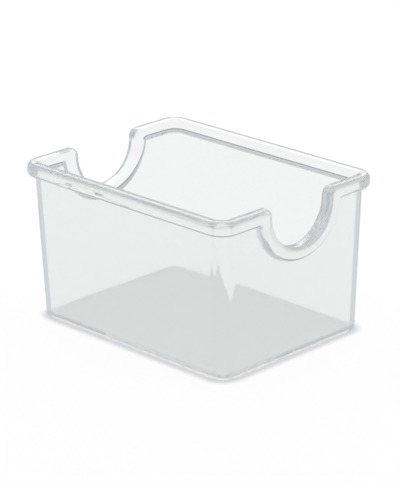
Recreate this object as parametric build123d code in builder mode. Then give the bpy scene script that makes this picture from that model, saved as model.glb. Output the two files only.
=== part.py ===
"""Clear table-top holder for sugar packets: one injection-moulded tub.

X runs along the length, Y across and Z up. The origin is the centre of the footprint, on the table.
All lengths are in millimetres.
"""
import math
import os

from build123d import *

os.makedirs("parts", exist_ok=True)

# Overall sizes, over the rim bead
rim_length = 108.0
rim_width = 82.4
height = 62.0

# Lean of the walls from upright, in degrees, so that the moulding leaves its tool
end_draft = 1.85
side_draft = 1.57

# Wall, floor and their rounded corners
wall = 2.8
floor = 1.5
wall_corner_radius = 6.3
inner_corner_radius = 3.0
floor_fillet = 1.2
base_edge_radius = 0.8

# Shallow recess under the floor, which leaves a foot ring to stand on
foot_ring_width = 4.0
foot_recess = 0.3

# Rim bead on the outside of the wall top
bead_overhang = 2.5
bead_height = 5.8
bead_land = 0.7
rim_corner_radius = 8.0
rim_inner_radius = 1.8

# Finger scoop in each end wall: a round bottom, short straight sides and rounded lips
scoop_radius = 14.7
scoop_straight = 0.4
scoop_lip_radius = 3.2

# The bead where it runs round a scoop: below its lowest point and beside it
scoop_bead_below = 5.5
scoop_bead_beside = 7.0

# Sizes that follow from those above
top_length = rim_length - 2 * bead_overhang
top_width = rim_width - 2 * bead_overhang
base_length = top_length - 2 * height * math.tan(math.radians(end_draft))
base_width = top_width - 2 * height * math.tan(math.radians(side_draft))
scoop_centre_z = height - scoop_lip_radius - scoop_straight
scoop_bottom_z = scoop_centre_z - scoop_radius
lobe_radius = scoop_radius + scoop_bead_beside
lobe_centre_z = scoop_bottom_z - scoop_bead_below + lobe_radius
bead_radius = (min(bead_height, scoop_bead_below) - bead_land) / 2


def wall_span(base, top, z):
    """Outside size of the drafted walls at a height, from their sizes at the table and at the top."""
    return base + (top - base) * z / height


def distance_across(edge):
    """How far the middle of an edge lies from the plane halfway across the part."""
    return abs(edge.center().Y)


# Outline of the part seen along its length, with the scoop that runs through both end walls
with BuildSketch(Plane.YZ) as end_outline:
    with Locations((0, height)):
        Rectangle(rim_width, height, align=(Align.CENTER, Align.MAX))
        Rectangle(
            2 * scoop_radius,
            height - scoop_centre_z,
            align=(Align.CENTER, Align.MAX),
            mode=Mode.SUBTRACT,
        )
    with Locations((0, scoop_centre_z)):
        Circle(scoop_radius, mode=Mode.SUBTRACT)
    lip_corners = end_outline.vertices().group_by(Axis.Y)[-1].sort_by(Axis.X)[1:-1]
    fillet(lip_corners, radius=scoop_lip_radius)

# Rim bead: a level band that dips under both scoops, still solid between the walls
with BuildPart() as rim_bead:
    with BuildSketch(Plane.YZ):
        with Locations((0, lobe_centre_z)):
            Circle(lobe_radius)
        with Locations((0, height)):
            Rectangle(rim_width, bead_height, align=(Align.CENTER, Align.MAX))
        add(end_outline.sketch_local, mode=Mode.INTERSECT)
    extrude(amount=rim_length, both=True)
    with BuildSketch(Plane.XY):
        RectangleRounded(rim_length, rim_width, rim_corner_radius)
    extrude(amount=height, mode=Mode.INTERSECT)

    # Round the bead's nose: all the outside edges but the seams that stand in its corners
    long_runs = rim_bead.edges().filter_by(Axis.X).group_by(distance_across)[-1]
    scoop_sides = rim_bead.edges().filter_by(Axis.Z).group_by(distance_across)[0]
    end_runs = rim_bead.edges().filter_by(Axis.X, reverse=True).filter_by(Axis.Z, reverse=True)
    fillet(long_runs + scoop_sides + end_runs, radius=bead_radius)

with BuildPart() as holder:
    # Drafted block with a rounded edge at the table
    with BuildSketch(Plane.XY):
        RectangleRounded(base_length, base_width, wall_corner_radius)
    with BuildSketch(Plane.XY.offset(height)):
        RectangleRounded(top_length, top_width, wall_corner_radius)
    loft(ruled=True)
    fillet(holder.faces().sort_by(Axis.Z)[0].edges(), radius=base_edge_radius)

    # Scoops through both ends, with the bead round them
    with BuildSketch(Plane.YZ):
        add(end_outline.sketch_local)
    extrude(amount=rim_length, both=True, mode=Mode.INTERSECT)
    add(rim_bead.part)

    # Inside, parallel to the outside
    with BuildSketch(Plane.XY.offset(floor)):
        RectangleRounded(
            wall_span(base_length, top_length, floor) - 2 * wall,
            wall_span(base_width, top_width, floor) - 2 * wall,
            inner_corner_radius,
        )
    with BuildSketch(Plane.XY.offset(height)):
        RectangleRounded(top_length - 2 * wall, top_width - 2 * wall, inner_corner_radius)
    loft(ruled=True, mode=Mode.SUBTRACT)

    # Soft inner edge along the rim and the scoops, and a rounded corner all round the floor
    inside_edges = holder.edges(Select.LAST)
    fillet(inside_edges.filter_by(lambda edge: edge.bounding_box().min.Z > floor), radius=rim_inner_radius)
    floor_face = holder.faces().filter_by(Axis.Z).sort_by(Axis.Z)[1]
    fillet(floor_face.edges(), radius=floor_fillet)

    # Foot ring
    with BuildSketch(Plane.XY):
        RectangleRounded(
            base_length - 2 * foot_ring_width,
            base_width - 2 * foot_ring_width,
            wall_corner_radius - foot_ring_width,
        )
    extrude(amount=foot_recess, mode=Mode.SUBTRACT)

holder.part.label = "holder"
export_step(holder.part, "parts/holder.step")
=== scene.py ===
"""Looks of the sugar packet holder: one clear moulded tub on a white studio table.

The tub is shaped in millimetres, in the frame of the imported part, and turned to metres at the end.
"""
import math

import bmesh
import bpy
from mathutils import Matrix, Vector


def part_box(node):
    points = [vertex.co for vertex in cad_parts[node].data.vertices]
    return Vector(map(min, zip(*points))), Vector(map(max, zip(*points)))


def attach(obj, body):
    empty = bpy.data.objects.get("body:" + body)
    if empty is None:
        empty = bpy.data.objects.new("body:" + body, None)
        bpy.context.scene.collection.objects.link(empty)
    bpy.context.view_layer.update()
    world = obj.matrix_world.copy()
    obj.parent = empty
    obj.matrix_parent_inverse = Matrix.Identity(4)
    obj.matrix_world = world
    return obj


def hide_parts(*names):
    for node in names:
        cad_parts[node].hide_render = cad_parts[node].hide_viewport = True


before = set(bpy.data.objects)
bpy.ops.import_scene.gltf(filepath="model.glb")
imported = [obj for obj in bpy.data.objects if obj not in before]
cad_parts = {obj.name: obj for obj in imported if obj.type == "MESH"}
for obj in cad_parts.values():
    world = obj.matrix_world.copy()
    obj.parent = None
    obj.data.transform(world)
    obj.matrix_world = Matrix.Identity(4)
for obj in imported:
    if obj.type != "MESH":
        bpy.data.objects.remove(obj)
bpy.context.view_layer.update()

MM = 0.001

# Sizes of the tub, in millimetres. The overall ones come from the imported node
low_corner, high_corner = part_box("holder")
RIM_LENGTH, RIM_WIDTH, HEIGHT = [size / MM for size in high_corner - low_corner]
END_DRAFT = math.radians(1.85)
SIDE_DRAFT = math.radians(1.57)
WALL = 2.8
FLOOR = 1.5
WALL_CORNER = 6.3
INNER_CORNER = 3.0
RIM_CORNER = 8.0
BEAD_OVERHANG = 2.5
BEAD_HEIGHT = 5.8
SCOOP_RADIUS = 14.7
SCOOP_STRAIGHT = 0.4
SCOOP_LIP = 3.2
SCOOP_BEAD_BELOW = 5.5
SCOOP_BEAD_BESIDE = 7.0
FOOT_RING = 4.0
FOOT_RECESS = 0.3

# Rounded edges, from the foot over the rim to the floor: the radius of each and the steps it is rounded in
FOOT_ROUND = (0.25, 3)
BASE_ROUND = (0.8, 6)
BEAD_ROOT = (0.2, 4)
BEAD_LOWER_ROUND = (2.4, 14)
BEAD_UPPER_ROUND = (2.4, 18)
RIM_INNER_ROUND = (1.8, 14)
FLOOR_ROUND = (1.2, 10)

# Steps along a quarter of the rim: half a scoop, its lip, the end, a corner and half a side
SCOOP_STEPS = 30
LIP_STEPS = 10
END_STEPS = 4
CORNER_STEPS = 20
SIDE_STEPS = 6

# How much large faces outweigh small ones in the shading, up to 100, so that the walls look flat up to their
# rounded edges
FLAT_WALLS = 100


def span(top, draft, z):
    """Half of the outside size of the drafted walls at a height."""
    return top / 2 - BEAD_OVERHANG - (HEIGHT - z) * math.tan(draft)


def half_length(z):
    """Half of the tub's outside length at a height."""
    return span(RIM_LENGTH, END_DRAFT, z)


def half_width(z):
    """Half of the tub's outside width at a height."""
    return span(RIM_WIDTH, SIDE_DRAFT, z)


def arc(centre, radius, start, stop, steps):
    """Points on an arc, as (y, z), from one angle to another in degrees."""
    angles = [math.radians(start + (stop - start) * step / steps) for step in range(steps + 1)]
    return [(centre[0] + radius * math.cos(a), centre[1] + radius * math.sin(a)) for a in angles]


def run(start, stop, steps):
    """Points on a straight run, without its first point."""
    shares = [step / steps for step in range(1, steps + 1)]
    return [(start[0] + (stop[0] - start[0]) * s, start[1] + (stop[1] - start[1]) * s) for s in shares]


def scoop_edge(corner_y):
    """The rim along half an end wall: round the scoop, over its lip and level to the corner."""
    lip_z = HEIGHT - SCOOP_LIP
    mouth = SCOOP_RADIUS + SCOOP_LIP
    path = arc((0, lip_z - SCOOP_STRAIGHT), SCOOP_RADIUS, -90, 0, SCOOP_STEPS)
    path += arc((mouth, lip_z), SCOOP_LIP, 180, 90, LIP_STEPS)
    return path + run((mouth, HEIGHT), (corner_y, HEIGHT), END_STEPS)


def bead_edge(corner_y):
    """The bead's lower edge along half an end wall: round the lobe to a mitre and level to the corner."""
    radius = SCOOP_RADIUS + SCOOP_BEAD_BESIDE
    bottom = HEIGHT - SCOOP_LIP - SCOOP_STRAIGHT - SCOOP_RADIUS - SCOOP_BEAD_BELOW
    level = HEIGHT - BEAD_HEIGHT
    centre_z = bottom + radius
    mitre = math.degrees(math.asin((level - centre_z) / radius))
    lobe_steps = SCOOP_STEPS + LIP_STEPS // 2
    path = arc((0, centre_z), radius, -90, mitre, lobe_steps)
    return path + run(path[-1], (corner_y, level), END_STEPS + LIP_STEPS + 1 - LIP_STEPS // 2)


def level_edge(corner_y, z):
    """A level line along half an end wall, with its points spread as those of the rim above are."""
    path = scoop_edge(RIM_WIDTH / 2 - RIM_CORNER)
    reach = [0.0]
    for (y0, z0), (y1, z1) in zip(path, path[1:]):
        reach.append(reach[-1] + math.hypot(y1 - y0, z1 - z0))
    return [(corner_y * r / reach[-1], z) for r in reach]


def outline(end_path, end_x, half_x, half_y, radius):
    """A closed loop round the tub from one quarter of it. end_x gives X from Z along the end wall."""
    z = end_path[-1][1]
    quarter = [(end_x(z_end), y, z_end) for y, z_end in end_path]
    corner = arc((half_x - radius, half_y - radius), radius, 0, 90, CORNER_STEPS)[1:]
    side = run((half_x - radius, half_y), (0, half_y), SIDE_STEPS)
    quarter += [(x, y, z) for x, y in corner + side]
    half = quarter + [(-x, y, z) for x, y, z in reversed(quarter[:-1])]
    return half + [(x, -y, z) for x, y, z in reversed(half[1:-1])]


def wall_loop(edge, inset, z=HEIGHT):
    """A loop on the drafted walls, set in from their outside. edge gives the path along half an end."""
    half_x = half_length(z) - inset
    half_y = half_width(z) - inset
    radius = INNER_CORNER if inset else WALL_CORNER
    return outline(edge(half_y - radius), lambda level: half_length(level) - inset, half_x, half_y, radius)


def nose_loop(edge):
    """A loop on the upright outside of the rim bead."""
    half_x = RIM_LENGTH / 2
    half_y = RIM_WIDTH / 2
    return outline(edge(half_y - RIM_CORNER), lambda level: half_x, half_x, half_y, RIM_CORNER)


def foot_loop(z):
    """A loop round the recess under the floor."""
    half_x = half_length(0) - FOOT_RING
    half_y = half_width(0) - FOOT_RING
    radius = WALL_CORNER - FOOT_RING
    path = level_edge(half_y - radius, z)
    return outline(path, lambda level: half_x, half_x, half_y, radius)


def extrude_to(bm, ring, points):
    """Extrudes a closed ring of vertices onto the points of the next loop, and returns the new ring."""
    edges = [bm.edges.get(pair) for pair in zip(ring, ring[1:] + ring[:1])]
    made = set(bmesh.ops.extrude_edge_only(bm, edges=edges)["geom"])
    links = [(vert, edge) for vert in ring for edge in vert.link_edges]
    new_ring = [edge.other_vert(vert) for vert, edge in links if edge.other_vert(vert) in made]
    for vert, point in zip(new_ring, points):
        vert.co = point
    return new_ring


def make_tub():
    """The whole moulding: sharp loops from the foot over the rim to the floor, then their rounded edges."""
    level = HEIGHT - BEAD_HEIGHT
    loops = [
        (foot_loop(0), FOOT_ROUND),
        (wall_loop(lambda y: level_edge(y, 0), 0, 0), BASE_ROUND),
        (wall_loop(bead_edge, 0, level), BEAD_ROOT),
        (nose_loop(bead_edge), BEAD_LOWER_ROUND),
        (nose_loop(scoop_edge), BEAD_UPPER_ROUND),
        (wall_loop(scoop_edge, WALL), RIM_INNER_ROUND),
        (wall_loop(lambda y: level_edge(y, FLOOR), WALL, FLOOR), FLOOR_ROUND),
    ]
    bm = bmesh.new()
    recess = foot_loop(FOOT_RECESS)
    ring = bmesh.ops.create_circle(bm, cap_ends=True, segments=len(recess), radius=1)["verts"]
    for vert, point in zip(ring, recess):
        vert.co = point
    rings = []
    for points, _ in loops:
        ring = extrude_to(bm, ring, points)
        rings.append(ring)
    bmesh.ops.contextual_create(bm, geom=ring)
    bmesh.ops.recalc_face_normals(bm, faces=bm.faces)
    for ring, (_, (radius, steps)) in zip(rings, loops):
        edges = [bm.edges.get(pair) for pair in zip(ring, ring[1:] + ring[:1])]
        bmesh.ops.bevel(
            bm, geom=edges, offset=radius, offset_type="OFFSET", segments=steps, profile=0.5,
            affect="EDGES", material=-1, clamp_overlap=False, loop_slide=False,
        )
    bmesh.ops.recalc_face_normals(bm, faces=bm.faces)
    bmesh.ops.scale(bm, vec=(MM, MM, MM), verts=bm.verts)
    mesh = bpy.data.meshes.new("clear_tub")
    bm.to_mesh(mesh)
    bm.free()
    mesh.shade_smooth()
    tub = bpy.data.objects.new("clear_tub", mesh)
    bpy.context.scene.collection.objects.link(tub)
    flat = tub.modifiers.new("flat_walls", "WEIGHTED_NORMAL")
    flat.weight = FLAT_WALLS
    return tub


def colour(code):
    """Linear colour from an sRGB hex value."""
    shares = [int(code[at:at + 2], 16) / 255 for at in (0, 2, 4)]
    return [s / 12.92 if s <= 0.04045 else ((s + 0.055) / 1.055) ** 2.4 for s in shares] + [1.0]


def add_node(tree, kind, inputs=(), **settings):
    """Adds a node with its settings. inputs is (socket, value) pairs, where a value may be another socket."""
    node = tree.nodes.new(kind)
    for name, value in settings.items():
        setattr(node, name, value)
    for socket, value in inputs:
        if isinstance(value, bpy.types.NodeSocket):
            tree.links.new(value, node.inputs[socket])
        else:
            node.inputs[socket].default_value = value
    return node


def new_material(name):
    """An empty material and its node tree."""
    material = bpy.data.materials.new(name)
    material.use_nodes = True
    material.node_tree.nodes.clear()
    return material, material.node_tree


# Sockets of the Mix node for colours, which share their names with those for numbers
MIX_SHARE = 0
MIX_FIRST = 6
MIX_SECOND = 7
MIX_COLOUR = 2

# The plastic: its tint, how it bends light, and the tint and strength of its fading, per metre
STYRENE_TINT = "F7F9F8"
STYRENE_IOR = 1.57
FADE_TINT = "D0D8D5"
FADE_DENSITY = 1.3

# Long flow waves all over the moulded faces, in millimetres
WAVE_LENGTH = 22.0
WAVE_DEPTH = 0.05
SOFT_DETAIL = 1.0

# Ripples drawn out upright near the foot, on one long side and one end, in millimetres. Their depth is chosen
# so that they show
RIPPLE_LENGTH = 7.0
RIPPLE_DEPTH = 1.3
RIPPLE_TOP = 4.5
RIPPLE_DRAW = (1.0, 1.0, 0.15)
RIPPLE_SIDE = (0.7, -0.7, 0.0)
RIPPLE_FADE = 15.0

# Upward share of a face's direction where it counts as level, without ripples, and as steep, with all of them
LEVEL_FACE = 0.95
STEEP_FACE = 0.6

# Soft scuffs: their size in millimetres, the range of the pattern they take, and the roughness they give
SCUFF_LENGTH = 6.0
SCUFF_RANGE = (0.5, 0.8)
SCUFF_ROUGHNESS = (0.03, 0.05)


def clear_styrene():
    """Clear styrene copolymer, polished as moulded: bright, with slight flow waves and soft scuffs.

    Light fades a little on its way through the plastic, so what is seen through its length looks greyer.
    Ripples near the foot break up the line of the foot's edge.
    """
    material, tree = new_material("clear_styrene_as_moulded")
    place = add_node(tree, "ShaderNodeTexCoord").outputs["Object"]
    waves = add_node(
        tree, "ShaderNodeTexNoise",
        [("Vector", place), ("Scale", 1 / (WAVE_LENGTH * MM)), ("Detail", SOFT_DETAIL)],
    )
    waved = add_node(
        tree, "ShaderNodeBump", [("Height", waves.outputs["Fac"]), ("Distance", WAVE_DEPTH * MM)],
    )
    drawn = add_node(tree, "ShaderNodeVectorMath", [(0, place), (1, RIPPLE_DRAW)], operation="MULTIPLY")
    ripples = add_node(
        tree, "ShaderNodeTexNoise",
        [("Vector", drawn.outputs[0]), ("Scale", 1 / (RIPPLE_LENGTH * MM)), ("Detail", SOFT_DETAIL)],
    )
    height = add_node(tree, "ShaderNodeSeparateXYZ", [("Vector", place)]).outputs["Z"]
    facing = add_node(tree, "ShaderNodeTexCoord").outputs["Normal"]
    lying = add_node(tree, "ShaderNodeSeparateXYZ", [("Vector", facing)]).outputs["Z"]
    level = add_node(tree, "ShaderNodeMath", [(0, lying)], operation="ABSOLUTE").outputs[0]
    steep = add_node(
        tree, "ShaderNodeMapRange", [("Value", level), ("From Min", LEVEL_FACE), ("From Max", STEEP_FACE)],
    )
    along = add_node(tree, "ShaderNodeVectorMath", [(0, place), (1, RIPPLE_SIDE)], operation="DOT_PRODUCT")
    one_side = add_node(
        tree, "ShaderNodeMapRange",
        [
            ("Value", along.outputs["Value"]),
            ("From Max", RIPPLE_FADE * MM),
            ("To Max", steep.outputs["Result"]),
        ],
    )
    near_foot = add_node(
        tree, "ShaderNodeMapRange",
        [
            ("Value", height),
            ("From Min", RIPPLE_TOP * MM),
            ("From Max", 0.0),
            ("To Max", one_side.outputs["Result"]),
        ],
    )
    rippled = add_node(
        tree, "ShaderNodeBump",
        [
            ("Height", ripples.outputs["Fac"]),
            ("Strength", near_foot.outputs["Result"]),
            ("Distance", RIPPLE_DEPTH * MM),
            ("Normal", waved.outputs["Normal"]),
        ],
    )
    scuffs = add_node(
        tree, "ShaderNodeTexNoise", [("Vector", place), ("Scale", 1 / (SCUFF_LENGTH * MM))],
    )
    haze = add_node(
        tree, "ShaderNodeMapRange",
        [
            ("Value", scuffs.outputs["Fac"]),
            ("From Min", SCUFF_RANGE[0]),
            ("From Max", SCUFF_RANGE[1]),
            ("To Min", SCUFF_ROUGHNESS[0]),
            ("To Max", SCUFF_ROUGHNESS[1]),
        ],
    )
    shader = add_node(
        tree, "ShaderNodeBsdfPrincipled",
        [
            ("Base Color", colour(STYRENE_TINT)),
            ("Roughness", haze.outputs["Result"]),
            ("IOR", STYRENE_IOR),
            ("Transmission Weight", 1.0),
            ("Normal", rippled.outputs["Normal"]),
        ],
    )
    fading = add_node(
        tree, "ShaderNodeVolumeAbsorption", [("Color", colour(FADE_TINT)), ("Density", FADE_DENSITY)],
    )
    add_node(
        tree, "ShaderNodeOutputMaterial",
        [("Surface", shader.outputs["BSDF"]), ("Volume", fading.outputs["Volume"])],
    )
    return material


WHITE = colour("FFFFFF")

# The table: half its side in metres, its gap under the foot in millimetres, the share of its look that is its
# own white, where the rest is the light on it, and its dimmer tone for light that turned inside the plastic:
# a painted shade that darkens the tub's edges, rim and foot as seen through the plastic
TABLE_HALF = 4.0
TABLE_GAP = 0.05
TABLE_GLOW = 0.95
TURNED_PAINTED_SHADE = colour("D2D4D7")

# The table's shadow, by how open it lies within a few millimetres: under the tub and close round the foot
SHADOW_REACH = 3.5
SHADOW_UNDER = colour("EDEEEE")
SHADOW_TONES = [(0.45, "CDCED2"), (0.8, "EEEEF0")]

# The room as gloss and clear plastic show it, from nought at eye level to one overhead
ROOM_TONES = [(0.2, "A8AAAE"), (0.44, "DADCDE"), (0.6, "FFFFFF")]

# The room's own light: how steeply it rises with height, and its strength overhead
FILL_RISE = 2.0
FILL_STRENGTH = 2.0


def seen_rays(tree):
    """One for rays from the camera, from gloss and through clear plastic, and nought for the light itself."""
    rays = add_node(tree, "ShaderNodeLightPath")
    gloss = add_node(
        tree, "ShaderNodeMath",
        [(0, rays.outputs["Is Camera Ray"]), (1, rays.outputs["Is Glossy Ray"])], operation="MAXIMUM",
    )
    return add_node(
        tree, "ShaderNodeMath",
        [(0, gloss.outputs[0]), (1, rays.outputs["Is Transmission Ray"])], operation="MAXIMUM",
    ).outputs[0]


def turned_rays(tree):
    """One for rays that turned in or off the plastic before they last left it, else nought."""
    rays = add_node(tree, "ShaderNodeLightPath")
    return add_node(
        tree, "ShaderNodeMath",
        [(0, rays.outputs["Glossy Depth"]), (1, rays.outputs["Is Transmission Ray"])], operation="MINIMUM",
    ).outputs[0]


def white_table():
    """Matt white studio table: white where it is seen, with the shadow under the tub and close round it."""
    material, tree = new_material("matt_white_table")
    lit = add_node(tree, "ShaderNodeBsdfDiffuse", [("Color", WHITE)])
    cover = add_node(tree, "ShaderNodeAmbientOcclusion", [("Distance", SHADOW_REACH * MM)])
    shade = add_node(tree, "ShaderNodeValToRGB", [("Fac", cover.outputs["AO"])])
    shade.color_ramp.elements[0].color = SHADOW_UNDER
    for stop, code in SHADOW_TONES:
        shade.color_ramp.elements.new(stop).color = colour(code)
    through = add_node(
        tree, "ShaderNodeMix",
        [(MIX_SHARE, cover.outputs["AO"]), (MIX_FIRST, SHADOW_UNDER), (MIX_SECOND, WHITE)], data_type="RGBA",
    ).outputs[MIX_COLOUR]
    direct = add_node(tree, "ShaderNodeLightPath").outputs["Is Camera Ray"]
    tone = add_node(
        tree, "ShaderNodeMix",
        [(MIX_SHARE, direct), (MIX_FIRST, through), (MIX_SECOND, shade.outputs["Color"])], data_type="RGBA",
    ).outputs[MIX_COLOUR]
    # Painted shade: rays that turned inside the plastic see the table in a darker tone, which greys the tub's
    # edges
    seen = add_node(
        tree, "ShaderNodeMix",
        [(MIX_SHARE, turned_rays(tree)), (MIX_FIRST, tone), (MIX_SECOND, TURNED_PAINTED_SHADE)], data_type="RGBA",
    ).outputs[MIX_COLOUR]
    white = add_node(tree, "ShaderNodeEmission", [("Color", seen)])
    share = add_node(tree, "ShaderNodeMath", [(0, seen_rays(tree)), (1, TABLE_GLOW)], operation="MULTIPLY")
    surface = add_node(
        tree, "ShaderNodeMixShader",
        [(0, share.outputs[0]), (1, lit.outputs[0]), (2, white.outputs[0])],
    )
    add_node(tree, "ShaderNodeOutputMaterial", [("Surface", surface.outputs[0])])
    return material


def white_room():
    """A studio room lit from above: white to the camera, with dimmer low walls in gloss and plastic."""
    world = bpy.data.worlds.new("white_room")
    world.use_nodes = True
    tree = world.node_tree
    tree.nodes.clear()
    direction = add_node(tree, "ShaderNodeTexCoord").outputs["Generated"]
    height = add_node(tree, "ShaderNodeSeparateXYZ", [("Vector", direction)]).outputs["Z"]
    rise = add_node(tree, "ShaderNodeMath", [(0, height), (1, FILL_RISE)], operation="POWER")
    light = add_node(
        tree, "ShaderNodeMath", [(0, rise.outputs[0]), (1, FILL_STRENGTH)], operation="MULTIPLY",
    )
    fill = add_node(tree, "ShaderNodeBackground", [("Strength", light.outputs[0])])
    tone = add_node(tree, "ShaderNodeValToRGB", [("Fac", height)])
    tone.color_ramp.elements[0].color = colour(ROOM_TONES[0][1])
    for stop, code in ROOM_TONES:
        tone.color_ramp.elements.new(stop).color = colour(code)
    direct = add_node(tree, "ShaderNodeLightPath").outputs["Is Camera Ray"]
    seen = add_node(
        tree, "ShaderNodeMix",
        [(MIX_SHARE, direct), (MIX_FIRST, tone.outputs["Color"]), (MIX_SECOND, WHITE)], data_type="RGBA",
    ).outputs[MIX_COLOUR]
    white = add_node(tree, "ShaderNodeBackground", [("Color", seen)])
    surface = add_node(
        tree, "ShaderNodeMixShader", [(0, seen_rays(tree)), (1, fill.outputs[0]), (2, white.outputs[0])],
    )
    add_node(tree, "ShaderNodeOutputWorld", [("Surface", surface.outputs[0])])
    return world


# Softbox behind the tub, as seen from the camera, which draws the bright line along the rim. In metres and
# watts. It doesn't show through the plastic
SOFTBOX_PLACE = Vector((-0.42, 0.42, 0.55))
SOFTBOX_SIZE = (0.7, 0.45)
SOFTBOX_POWER = 1.8


def build_stage():
    """The table, the softbox and the room."""
    bm = bmesh.new()
    bmesh.ops.create_grid(bm, x_segments=1, y_segments=1, size=TABLE_HALF)
    bmesh.ops.translate(bm, vec=(0, 0, -TABLE_GAP * MM), verts=bm.verts)
    mesh = bpy.data.meshes.new("table")
    bm.to_mesh(mesh)
    bm.free()
    mesh.materials.append(white_table())
    table = bpy.data.objects.new("table", mesh)
    bpy.context.scene.collection.objects.link(table)

    softbox = bpy.data.lights.new("softbox", "AREA")
    softbox.shape = "RECTANGLE"
    softbox.size, softbox.size_y = SOFTBOX_SIZE
    softbox.energy = SOFTBOX_POWER
    lamp = bpy.data.objects.new("softbox", softbox)
    lamp.location = SOFTBOX_PLACE
    lamp.visible_transmission = False
    lamp.rotation_euler = SOFTBOX_PLACE.to_track_quat("Z", "Y").to_euler()
    bpy.context.scene.collection.objects.link(lamp)
    bpy.context.scene.world = white_room()


# The camera as fitted to the photograph: its distance and aim in millimetres, and its picture in pixels
VIEW_AZIMUTH = math.radians(45.49)
VIEW_ELEVATION = math.radians(20.25)
VIEW_ROLL = math.radians(-0.86)
VIEW_DISTANCE = 916.9
AIM = Vector((0.0, 0.0, 31.05))
FOCAL_PIXELS = 2435.0
CENTRE_PIXEL = (198.0, 244.1)
IMAGE_SIZE = (400, 483)
SENSOR = 36.0


def add_camera():
    """The camera at the photograph's viewing angle and framing."""
    data = bpy.data.cameras.new("photo_camera")
    data.sensor_width = SENSOR
    data.lens = FOCAL_PIXELS * SENSOR / IMAGE_SIZE[1]
    data.shift_x = (IMAGE_SIZE[0] / 2 - CENTRE_PIXEL[0]) / IMAGE_SIZE[1]
    data.shift_y = (CENTRE_PIXEL[1] - IMAGE_SIZE[1] / 2) / IMAGE_SIZE[1]
    turn = Matrix.Rotation(VIEW_AZIMUTH, 4, "Z") @ Matrix.Rotation(math.pi / 2 - VIEW_ELEVATION, 4, "X")
    back = turn @ Vector((0, 0, 1))
    camera = bpy.data.objects.new("photo_camera", data)
    stand = Matrix.Translation((AIM + back * VIEW_DISTANCE) * MM)
    camera.matrix_world = stand @ turn @ Matrix.Rotation(VIEW_ROLL, 4, "Z")
    bpy.context.scene.collection.objects.link(camera)
    bpy.context.scene.camera = camera


tub = make_tub()
tub.data.materials.append(clear_styrene())
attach(tub, "root")
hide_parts("holder")
build_stage()
add_camera()
bpy.context.scene.view_settings.view_transform = "Standard"

# Light runs far inside clear walls, so it may turn more often than in opaque things
BOUNCES = 160
cycles = bpy.context.scene.cycles
cycles.max_bounces = BOUNCES
cycles.glossy_bounces = BOUNCES
cycles.transmission_bounces = BOUNCES

# Smoothed by its colour alone, the rim keeps less grain
cycles.denoising_input_passes = "RGB"
